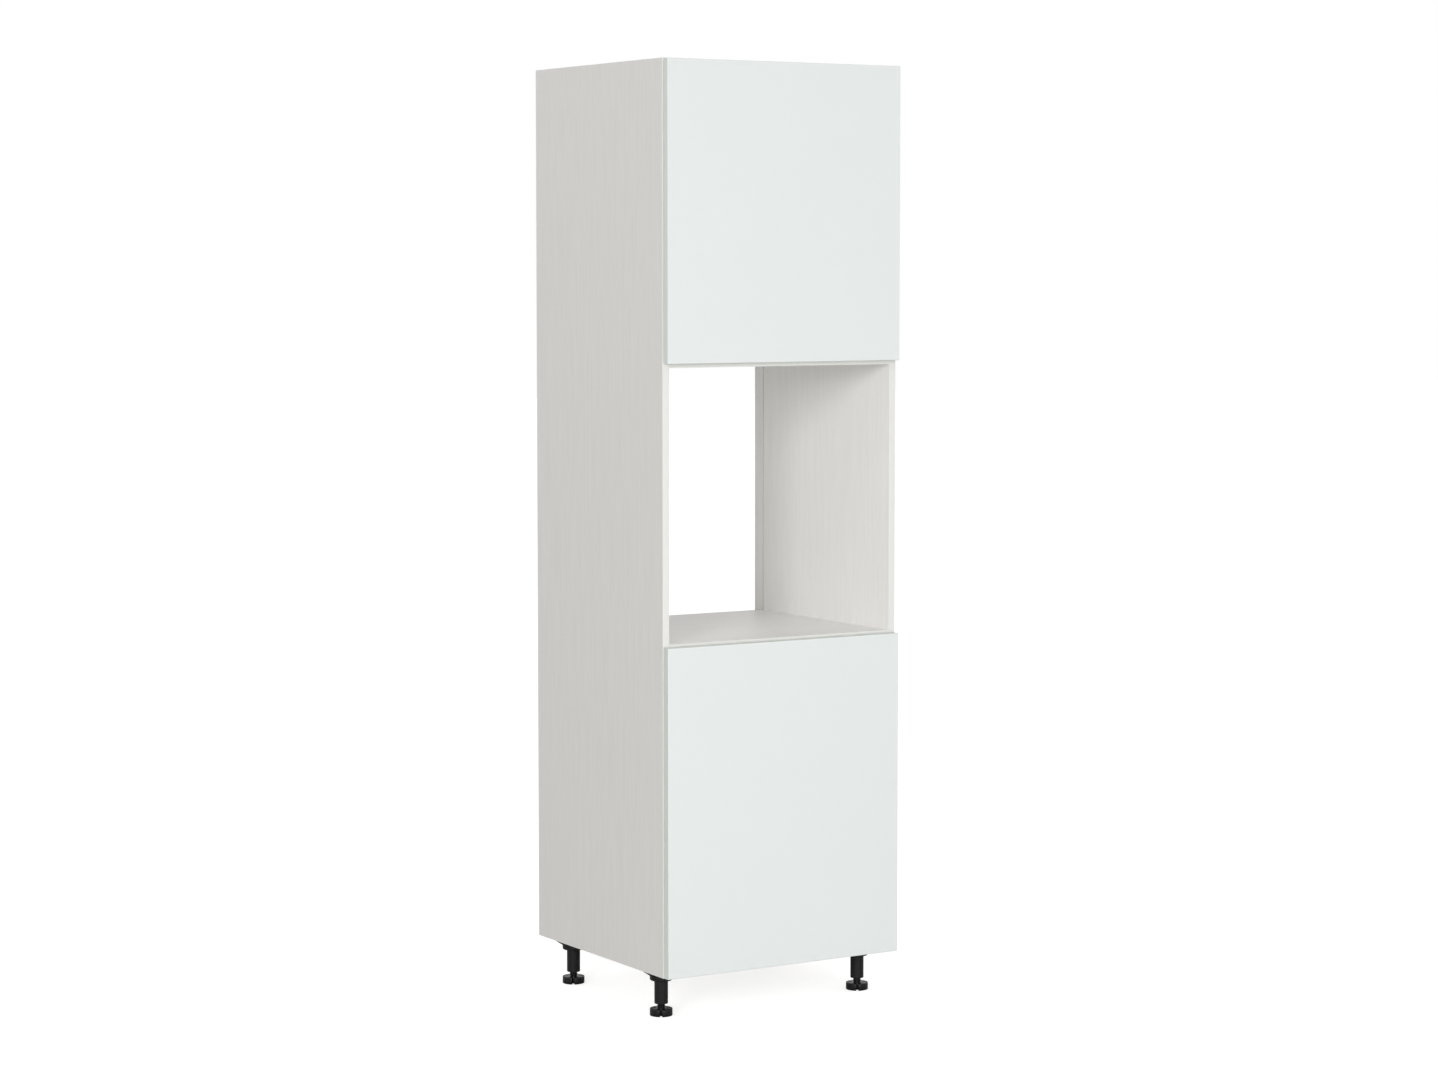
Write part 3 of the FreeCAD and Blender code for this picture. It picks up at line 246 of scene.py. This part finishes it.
def boardMaterial(name, axis, low, high, stretch, seal=None):
    material, tree, sockets = startMaterial(name, boards["roughness"])
    grain = useGroup(tree, grainShader, Stretch=stretch, Contrast=boards["contrast"])
    white = blend(tree, grain["Streaks"], boards["darker"], boards["colour"])
    chips = useGroup(tree, chipShader, Size=boards["chips"])
    where = axesOf(tree)
    value = where[axis]
    if axis == "X":
        value = math2(tree, "ABSOLUTE", value, 0.0)
        # painted shade: the outer faces of the side panels are multiplied darker than their inner faces
        outer = math2(tree, "GREATER_THAN", value, high - boards["skin"])
        white = blend(tree, outer, white, blend(tree, 1.0, white, boards["outside"], "MULTIPLY"))
    core = within(tree, value, low + boards["skin"], high - boards["skin"])
    if seal:            # a banded top end and the painted groove stay white
        core = math2(tree, "MULTIPLY", core, math2(tree, "LESS_THAN", where["Z"], seal))
        painted = within(tree, where["Y"], *boards["groove"])
        core = math2(tree, "MULTIPLY", core, math2(tree, "SUBTRACT", 1.0, painted))
    tree.links.new(blend(tree, core, white, chips["Colour"]), sockets["Base Color"])
    rougher = math2(tree, "MULTIPLY", core, boards["coreRougher"])
    rough = math2(tree, "ADD", rougher, spread(tree, grain["Height"], boards))
    tree.links.new(rough, sockets["Roughness"])
    grainHeight = math2(tree, "MULTIPLY", grain["Height"], boards["grainHeight"])
    height = math2(tree, "ADD", grainHeight, math2(tree, "MULTIPLY", core, chips["Height"]))
    raiseFace(tree, sockets, height, boards)
    return material


for side in ("left", "right"):
    low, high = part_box(side + "_side_panel")
    inner, outer = sorted((abs(low.x), abs(high.x)))
    seal = high.z - boards["topBand"]
    melamine = boardMaterial(side + "SideMelamine", "X", inner, outer, boards["upright"], seal)
    dress([side + "_side_panel"], melamine)
for name in ("bottom_panel", "niche_floor_panel", "niche_ceiling_panel", "top_panel",
             "lower_shelf", "upper_shelf"):
    low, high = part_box(name)
    label = "".join(word.title() for word in name.split("_"))
    dress([name], boardMaterial("melamine" + label, "Z", low.z, high.z, boards["level"]))


backs = {
    "colour": (0.72, 0.72, 0.70, 1),
    "darker": (0.67, 0.67, 0.65, 1),
    "tooth": 1400.0,
    "coating": 0.0002,
    "fibrePale": (0.44, 0.31, 0.19, 1),
    "fibreDark": (0.25, 0.155, 0.085, 1),
    "felt": 420.0,
    "feltDetail": 6.0,
    "roughness": 0.6,
    "swing": 0.3,
    "bump": 0.25,
    "depth": 0.0003,
}


def backMaterial():
    # coated face towards the cupboard, bare pressed fibre behind
    material, tree, sockets = startMaterial("coatedFibreboard", backs["roughness"])
    tooth = useGroup(tree, toothShader, Size=backs["tooth"])
    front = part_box("upper_back_panel")[0].y
    bare = math2(tree, "GREATER_THAN", axesOf(tree)["Y"], front + backs["coating"])
    felt = noise(tree, objectPlace(tree), backs["felt"], backs["feltDetail"])
    fibre = blend(tree, felt, backs["fibreDark"], backs["fibrePale"])
    white = blend(tree, tooth["Height"], backs["darker"], backs["colour"])
    tree.links.new(blend(tree, bare, white, fibre), sockets["Base Color"])
    tree.links.new(spread(tree, felt, backs), sockets["Roughness"])
    raiseFace(tree, sockets, felt, backs)
    return material


dress(["lower_back_panel", "upper_back_panel"], backMaterial())
print("boards finished")


# edge bands, plastics, rubber and metals: one plain description for each finish

finishes = {
    "edgeBand": {
        "colour": (0.82, 0.82, 0.79, 1), "roughness": 0.38, "swing": 0.08,
        "size": 700.0, "tone": 0.02, "bump": 0.08, "depth": 0.0002,
        "nodes": ["edge_bands"]},
    "capPlastic": {
        "colour": (0.76, 0.76, 0.74, 1), "roughness": 0.4, "swing": 0.1,
        "size": 1500.0, "tone": 0.03, "bump": 0.15, "depth": 0.0002,
        "nodes": ["cam_cover_caps"]},
    "legPlastic": {
        "colour": (0.007, 0.007, 0.0075, 1), "roughness": 0.36, "swing": 0.12,
        "size": 1600.0, "tone": 0.2, "bump": 0.3, "depth": 0.0002, "gloss": 0.26,
        "nodes": ["leg_flanges", "leg_tubes", "foot_front_left", "foot_front_right",
                  "foot_rear_left", "foot_rear_right"]},
    "latchPlastic": {
        "colour": (0.34, 0.35, 0.36, 1), "roughness": 0.5, "swing": 0.12,
        "size": 1700.0, "tone": 0.08, "bump": 0.25, "depth": 0.0002,
        "nodes": ["push_latch_housings", "upper_latch_plunger", "lower_latch_plunger"]},
    "bumperRubber": {
        "colour": (0.62, 0.63, 0.60, 1), "roughness": 0.3, "swing": 0.1,
        "size": 900.0, "tone": 0.06, "bump": 0.1, "depth": 0.0002,
        "nodes": ["upper_door_bumpers", "lower_door_bumpers"]},
    "castZinc": {
        "colour": (0.42, 0.43, 0.45, 1), "roughness": 0.48, "swing": 0.3,
        "size": 1300.0, "tone": 0.2, "bump": 0.5, "depth": 0.0003, "metal": 1.0,
        "nodes": ["cam_housings"]},
    "zincPlate": {
        "colour": (0.60, 0.60, 0.57, 1), "roughness": 0.32, "swing": 0.2,
        "size": 700.0, "tone": 0.15, "bump": 0.12, "depth": 0.0002, "metal": 1.0,
        "nodes": ["cam_bolts", "wall_brackets", "leg_screws", "push_latch_screws", "wall_bracket_screws",
                  "back_panel_screws", "hinge_plate_screws", "hinge_arm_screws",
                  "upper_hinge_cup_screws", "lower_hinge_cup_screws"]},
    "nickelPlate": {
        "colour": (0.66, 0.64, 0.60, 1), "roughness": 0.2, "swing": 0.14,
        "size": 500.0, "tone": 0.08, "bump": 0.06, "depth": 0.0002, "metal": 1.0,
        "nodes": ["shelf_supports", "upper_strike_plate", "lower_strike_plate", "hinge_mounting_plates",
                  "hinge_arms", "hinge_arm_outer_pins", "hinge_arm_inner_pins",
                  "upper_hinge_cups", "lower_hinge_cups", "upper_cup_outer_pins", "upper_cup_inner_pins",
                  "lower_cup_outer_pins", "lower_cup_inner_pins", "upper_outer_links", "upper_inner_links",
                  "lower_outer_links", "lower_inner_links"]},
}


def coat(tree, sockets, look, base):
    tooth = useGroup(tree, toothShader, Size=look["size"], Tone=look["tone"])
    shade = add(tree, "CombineColor", [(channel, tooth["Tone"]) for channel in range(3)]).outputs[0]
    tree.links.new(blend(tree, 1.0, base, shade, "MULTIPLY"), sockets["Base Color"])
    tree.links.new(spread(tree, tooth["Height"], look), sockets["Roughness"])
    raiseFace(tree, sockets, tooth["Height"], look)


def finishMaterial(name, look):
    material, tree, sockets = startMaterial(name, look["roughness"], look.get("metal", 0.0))
    sockets["Specular IOR Level"].default_value = look.get("gloss", 0.5)
    coat(tree, sockets, look, look["colour"])
    return material


for name, look in finishes.items():
    dress(look["nodes"], finishMaterial(name, look))


fronts = {
    "colour": (0.80, 0.835, 0.83, 1),
    "band": (0.67, 0.71, 0.665, 1),
    "bandDepth": 0.0006,
    "roughness": 0.34,
    "swing": 0.06,
    "size": 380.0,
    "tone": 0.012,
    "bump": 0.05,
    "depth": 0.0002,
}


def frontMaterial(name, low, high):
    # smooth satin face and back, and thin bands in a slightly greener white round the four edges
    material, tree, sockets = startMaterial(name, fronts["roughness"])
    where = axesOf(tree)
    inside = 1.0
    for axis, start, end in (("X", low.x, high.x), ("Z", low.z, high.z)):
        middle = within(tree, where[axis], start + fronts["bandDepth"], end - fronts["bandDepth"])
        inside = math2(tree, "MULTIPLY", middle, inside)
    coat(tree, sockets, fronts, blend(tree, inside, fronts["band"], fronts["colour"]))
    return material


for which in ("upper", "lower"):
    low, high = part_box(which + "_door_panel")
    dress([which + "_door_panel"], frontMaterial(which + "FrontLacquer", low, high))


beech = {
    "pale": (0.56, 0.38, 0.22, 1),
    "dark": (0.38, 0.22, 0.11, 1),
    "stretch": (12, 700, 700),
    "contrast": 1.6,
    "roughness": 0.62,
    "swing": 0.2,
    "bump": 0.4,
    "depth": 0.0003,
}


def beechMaterial():
    material, tree, sockets = startMaterial("turnedBeech", beech["roughness"])
    grain = useGroup(tree, grainShader, Stretch=beech["stretch"], Contrast=beech["contrast"])
    tree.links.new(blend(tree, grain["Streaks"], beech["dark"], beech["pale"]), sockets["Base Color"])
    tree.links.new(spread(tree, grain["Height"], beech), sockets["Roughness"])
    raiseFace(tree, sockets, grain["Height"], beech)
    return material


dress(["wooden_dowels"], beechMaterial())
print("finishes applied")


# modelling steps that screws and feet share; a turned piece is drawn upwards ring by ring

def alone(item):
    bpy.ops.object.select_all(action="DESELECT")
    item.select_set(True)
    bpy.context.view_layer.objects.active = item


def startTurned(name, sides, radius, height):
    # leaves the piece in edit mode, with its lowest face selected
    bpy.ops.object.select_all(action="DESELECT")
    bpy.ops.mesh.primitive_circle_add(
        vertices=sides, radius=radius, fill_type="NGON", location=(0, 0, height))
    item = bpy.context.object
    item.name = name
    bpy.ops.object.mode_set(mode="EDIT")
    bpy.ops.mesh.select_all(action="SELECT")
    return item


def drawOn(rise, factor):
    bpy.ops.mesh.extrude_region_move(TRANSFORM_OT_translate={"value": (0, 0, rise)})
    bpy.ops.transform.resize(value=(factor, factor, 1))


def selectWhere(item, rule):
    # vertices whose place fits the rule, and the edges and faces between them
    points = item.data.vertices
    for vertex in points:
        vertex.select = rule(vertex.co)
    for part in list(item.data.edges) + list(item.data.polygons):
        part.select = all(points[index].select for index in part.vertices)


def taperedBlock(middle, size, rule, taper):
    # a block whose vertices that fit the rule are drawn together
    bpy.ops.mesh.primitive_cube_add(size=1, location=middle)
    block = bpy.context.object
    block.scale = size
    bpy.ops.object.transform_apply(location=False, rotation=False, scale=True)
    selectWhere(block, rule)
    bpy.ops.object.mode_set(mode="EDIT")
    bpy.ops.transform.resize(value=taper)
    bpy.ops.object.mode_set(mode="OBJECT")
    return block


def cutAtTurns(item, cutter, turns):
    # turns are in degrees about Z; the cutter is used up
    for turn in turns:
        cutter.rotation_euler.z = math.radians(turn)
        alone(item)
        cut = item.modifiers.new("cut", "BOOLEAN")
        cut.object, cut.operation, cut.solver = cutter, "DIFFERENCE", "EXACT"
        bpy.ops.object.modifier_apply(modifier=cut.name)
    alone(cutter)
    bpy.ops.object.delete()


# screws: one of each kind is modelled, then copied to where the CAD has its screws

screws = {
    "sides": 20,
    "pitch": 0.0015,        # from ring to ring; the rings stand for the thread
    "core": 0.7,            # between two rings, as a share of the shank
    "flank": 0.8,           # share of half a pitch in which a ring rises
    "crest": 0.2,           # and in which it runs straight
    "point": 0.004,
    "pointShare": 0.35,     # of the length, at most
    "tip": 0.1,             # where the point ends, as a share of the shank
    "dome": ((0.45, 1.0), (0.3, 0.9), (0.17, 0.72), (0.08, 0.55)),      # shares of height and of radius
    "recess": {"arm": 1.15, "slit": 0.26, "taper": 0.55, "depth": 0.62, "over": 0.0005},
    "smooth": 35,
    "kinds": {      # sizes: radius of shank and of head, height of head, length below it
        "leg_screws": {
            "body": "carcass", "head": (0, 0, -1), "sizes": (0.002, 0.004, 0.0025, 0.016)},
        "push_latch_screws": {
            "body": "carcass", "head": (1, 0, 0), "sizes": (0.0017, 0.0035, 0.002, 0.014)},
        "wall_bracket_screws": {
            "body": "carcass", "head": "inwards", "sizes": (0.002, 0.004, 0.0022, 0.016)},
        "back_panel_screws": {
            "body": "carcass", "head": (0, 1, 0), "sizes": (0.0015, 0.0035, 0.0015, 0.014)},
        "hinge_plate_screws": {
            "body": "carcass", "head": (-1, 0, 0), "sizes": (0.0025, 0.0036, 0.0016, 0.013)},
        "hinge_arm_screws": {
            "body": "carcass", "head": (-1, 0, 0), "sizes": (0.002, 0.0034, 0.0018, 0.006)},
        "upper_hinge_cup_screws": {
            "body": "upper_door", "head": (0, 1, 0), "sizes": (0.00175, 0.0037, 0.0014, 0.012)},
        "lower_hinge_cup_screws": {
            "body": "lower_door", "head": (0, 1, 0), "sizes": (0.00175, 0.0037, 0.0014, 0.012)},
    },
}


def modelScrew(name, shank, head, rise, length):
    # drawn from its point up to its head; the head stands on z = 0
    point = min(screws["point"], length * screws["pointShare"])
    turns = int((length - point) / screws["pitch"])
    half = (length - point) / (2 * turns + 1)
    screw = startTurned(name, screws["sides"], shank * screws["tip"], -length)
    drawOn(point, 1 / screws["tip"] * screws["core"])
    for turn in range(turns):
        drawOn(half * screws["flank"], 1 / screws["core"])
        drawOn(half * screws["crest"], 1)
        drawOn(half, screws["core"])
    drawOn(half, 1)
    drawOn(0, head / (shank * screws["core"]))
    above = 1.0
    for share, wide in screws["dome"]:
        drawOn(rise * share, wide / above)
        above = wide
    bpy.ops.object.mode_set(mode="OBJECT")
    bpy.ops.object.transform_apply(location=True, rotation=True, scale=True)
    recess = screws["recess"]
    depth = rise * recess["depth"] + recess["over"]
    cutter = taperedBlock(
        (0, 0, rise + recess["over"] - depth / 2), (head * recess["arm"], head * recess["slit"], depth),
        lambda spot: spot.z < 0, (recess["taper"], recess["taper"], 1))
    cutAtTurns(screw, cutter, (0, 90))
    alone(screw)
    bpy.ops.object.shade_smooth_by_angle(angle=math.radians(screws["smooth"]))
    return screw


def cadSolids(name):
    # lowest and highest corner of each separate solid in one CAD node
    leader = {}

    def lead(key):
        while leader.setdefault(key, key) != key:
            key = leader[key]
        return key

    mesh = nodes[name].data
    keys = [tuple(round(value, 6) for value in vertex.co) for vertex in mesh.vertices]
    for polygon in mesh.polygons:
        first = lead(keys[polygon.vertices[0]])
        for index in polygon.vertices:
            leader[lead(keys[index])] = first
    solids = {}
    for key in set(keys):
        solids.setdefault(lead(key), []).append(key)
    return [(Vector(map(min, zip(*solid))), Vector(map(max, zip(*solid)))) for solid in solids.values()]


def fitScrews(name, kind):
    shank, head, rise, length = kind["sizes"]
    master = modelScrew(name + "_dressed", shank, head, rise, length)
    copies = []
    for low, high in sorted(cadSolids(name), key=lambda pair: tuple(pair[0])):
        middle = (low + high) / 2
        if kind["head"] == "inwards":
            towards = Vector((-1 if middle.x > 0 else 1, 0, 0))
        else:
            towards = Vector(kind["head"])
        alone(master)
        bpy.ops.object.duplicate()
        copy = bpy.context.object
        copy.rotation_euler = towards.to_track_quat("Z", "Y").to_euler()
        copy.location = middle + towards * ((length + rise) / 2 - rise)
        bpy.ops.object.transform_apply(location=True, rotation=True, scale=True)
        copies.append(copy)
    alone(master)
    bpy.ops.object.delete()
    for copy in copies:
        copy.select_set(True)
    bpy.context.view_layer.objects.active = copies[0]
    bpy.ops.object.join()
    piece = bpy.context.object
    piece.name = name + "_dressed"
    piece.data.materials.append(nodes[name].data.materials[0])
    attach(piece, kind["body"])
    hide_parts(name)
    print(piece.name, len(copies), "screws,", len(piece.data.polygons), "faces")


for name, kind in screws["kinds"].items():
    fitScrews(name, kind)


# feet: a notched disc with a ringed stem that goes up into the leg's tube

feet = {
    "sides": 64,
    "rim": 0.025,
    "thickness": 0.016,
    "round": 0.0015,
    "roundSteps": (30, 60, 90),
    "notch": {"start": 0.0125, "end": 0.027, "wide": 0.0061, "narrow": 0.66, "turn": 58.5, "over": 0.004},
    "soften": {"width": 0.00035, "segments": 2, "angle": 50},
    "stem": {
        "radius": 0.00872, "start": 0.0175, "top": 0.0745,
        "sunk": 0.004,          # in the disc
        "root": 0.9,            # between two rings, as a share of the radius
        "pitch": 0.003,
        "ring": 0.22,           # shares of the pitch: each of a ring's three steps, and the rest
        "rest": 0.34,
        "end": 0.9,
    },
    "smooth": 28,
    "names": ("foot_front_left", "foot_front_right", "foot_rear_left", "foot_rear_right"),
}


def modelDisc():
    rim, thick, corner = feet["rim"], feet["thickness"], feet["round"]
    disc = startTurned("footDisc", feet["sides"], rim - corner, 0)
    angles = [math.radians(step) for step in feet["roundSteps"]]
    path = [(corner * (1 - math.cos(a)), rim - corner * (1 - math.sin(a))) for a in angles]
    path += [(thick - rise, wide) for rise, wide in reversed(path)] + [(thick, rim - corner)]
    level, reach = 0.0, rim - corner
    for height, wide in path:
        drawOn(height - level, wide / reach)
        level, reach = height, wide
    bpy.ops.object.mode_set(mode="OBJECT")
    notch = feet["notch"]
    cutter = taperedBlock(
        ((notch["start"] + notch["end"]) / 2, 0, thick / 2),
        (notch["end"] - notch["start"], notch["wide"], thick + notch["over"]),
        lambda spot: spot.x < 0, (1, notch["narrow"], 1))
    bpy.ops.object.transform_apply(location=True, rotation=True, scale=True)
    cutAtTurns(disc, cutter, [notch["turn"] + 90 * quarter for quarter in range(4)])
    alone(disc)
    soft = disc.modifiers.new("soft", "BEVEL")
    soft.width, soft.segments = feet["soften"]["width"], feet["soften"]["segments"]
    soft.limit_method, soft.angle_limit = "ANGLE", math.radians(feet["soften"]["angle"])
    bpy.ops.object.modifier_apply(modifier=soft.name)
    return disc


def modelStem():
    stem = feet["stem"]
    root, pitch = stem["root"], stem["pitch"]
    low = feet["thickness"] - stem["sunk"]
    ringed = startTurned("footStem", feet["sides"], stem["radius"] * root, low)
    drawOn(stem["start"] - low, 1)
    turns = int((stem["top"] - stem["start"]) / pitch)
    for turn in range(turns):
        drawOn(pitch * stem["ring"], 1 / root)
        drawOn(pitch * stem["ring"], 1)
        drawOn(pitch * stem["ring"], root)
        drawOn(pitch * stem["rest"], 1)
    drawOn(stem["top"] - stem["start"] - turns * pitch, stem["end"])
    bpy.ops.object.mode_set(mode="OBJECT")
    return ringed


disc, stem = modelDisc(), modelStem()
disc.select_set(True)
bpy.context.view_layer.objects.active = disc
bpy.ops.object.join()
bpy.ops.object.transform_apply(location=True, rotation=True, scale=True)
bpy.ops.object.shade_smooth_by_angle(angle=math.radians(feet["smooth"]))
for name in feet["names"]:
    low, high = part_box(name)
    alone(disc)
    bpy.ops.object.duplicate()
    foot = bpy.context.object
    foot.name = name + "_dressed"
    foot.location = ((low.x + high.x) / 2, (low.y + high.y) / 2, low.z)
    bpy.ops.object.transform_apply(location=True, rotation=False, scale=False)
    foot.data.materials.append(nodes[name].data.materials[0])
    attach(foot, name)
    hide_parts(name)
alone(disc)
bpy.ops.object.delete()
print("feet modelled")


# studio: pale floor, white surroundings, three soft lamps

studio = {
    "floorHalf": 30,
    "floorColour": (0.80, 0.80, 0.79, 1),
    "floorRoughness": 0.9,
    "floorGlow": 0.69,      # what the camera sees on top of the lit floor
    "worldFront": 0.52,     # light from the viewer's side of the room
    "worldBack": 0.41,
    "lamps": {
        "leftLamp": {"place": (-13.7, -11.7, 4.8), "aim": (0, 0, 1.0), "size": 4.8, "power": 1190},
        "lowLamp": {"place": (-0.4, -4.2, 0.3), "aim": (0, 0, 0.4), "size": 1.6, "power": 46},
        "topLamp": {"place": (-2.6, -7.0, 14.0), "aim": (0, 0, 1.0), "size": 7.0, "power": 210},
    },
}

bpy.ops.object.select_all(action="DESELECT")
bpy.ops.mesh.primitive_plane_add(size=2 * studio["floorHalf"], location=(0, 0, 0))
floor = bpy.context.object
floor.name = "paleFloor"
floorMaterial, tree, sockets = startMaterial("floorPaint", studio["floorRoughness"])
sockets["Base Color"].default_value = studio["floorColour"]
sockets["Specular IOR Level"].default_value = 0.0
seen = add(tree, "LightPath").outputs["Is Camera Ray"]
strength = math2(tree, "MULTIPLY", seen, studio["floorGlow"])
glow = add(tree, "Emission", [("Color", (1, 1, 1, 1)), ("Strength", strength)])
both = add(tree, "AddShader", [(0, tree.nodes["Principled BSDF"].outputs[0]), (1, glow.outputs[0])])
tree.links.new(both.outputs[0], tree.nodes["Material Output"].inputs["Surface"])
floor.data.materials.append(floorMaterial)

world = bpy.data.worlds.new("whiteSurroundings")
scene.world = world
world.use_nodes = True
tree = world.node_tree
path = add(tree, "LightPath").outputs
direct = math2(tree, "MAXIMUM", path["Is Camera Ray"], path["Is Glossy Ray"])
direct = math2(tree, "MAXIMUM", direct, path["Is Transmission Ray"])
heading = add(tree, "SeparateXYZ", [(0, add(tree, "TexCoord").outputs["Generated"])]).outputs["Y"]
room = add(tree, "MapRange", [
    ("Value", heading), ("From Min", -1.0), ("From Max", 1.0),
    ("To Min", studio["worldFront"]), ("To Max", studio["worldBack"])]).outputs["Result"]
white = math2(tree, "MAXIMUM", room, direct)
tree.links.new(white, tree.nodes["Background"].inputs["Strength"])
tree.nodes["Background"].inputs["Color"].default_value = (1, 1, 1, 1)

for name, lamp in studio["lamps"].items():
    bpy.ops.object.light_add(type="AREA", location=lamp["place"])
    light = bpy.context.object
    light.name = name
    light.data.size = lamp["size"]
    light.data.energy = lamp["power"]
    away = Vector(lamp["aim"]) - Vector(lamp["place"])
    light.rotation_euler = away.to_track_quat("-Z", "Y").to_euler()
print("studio lit")
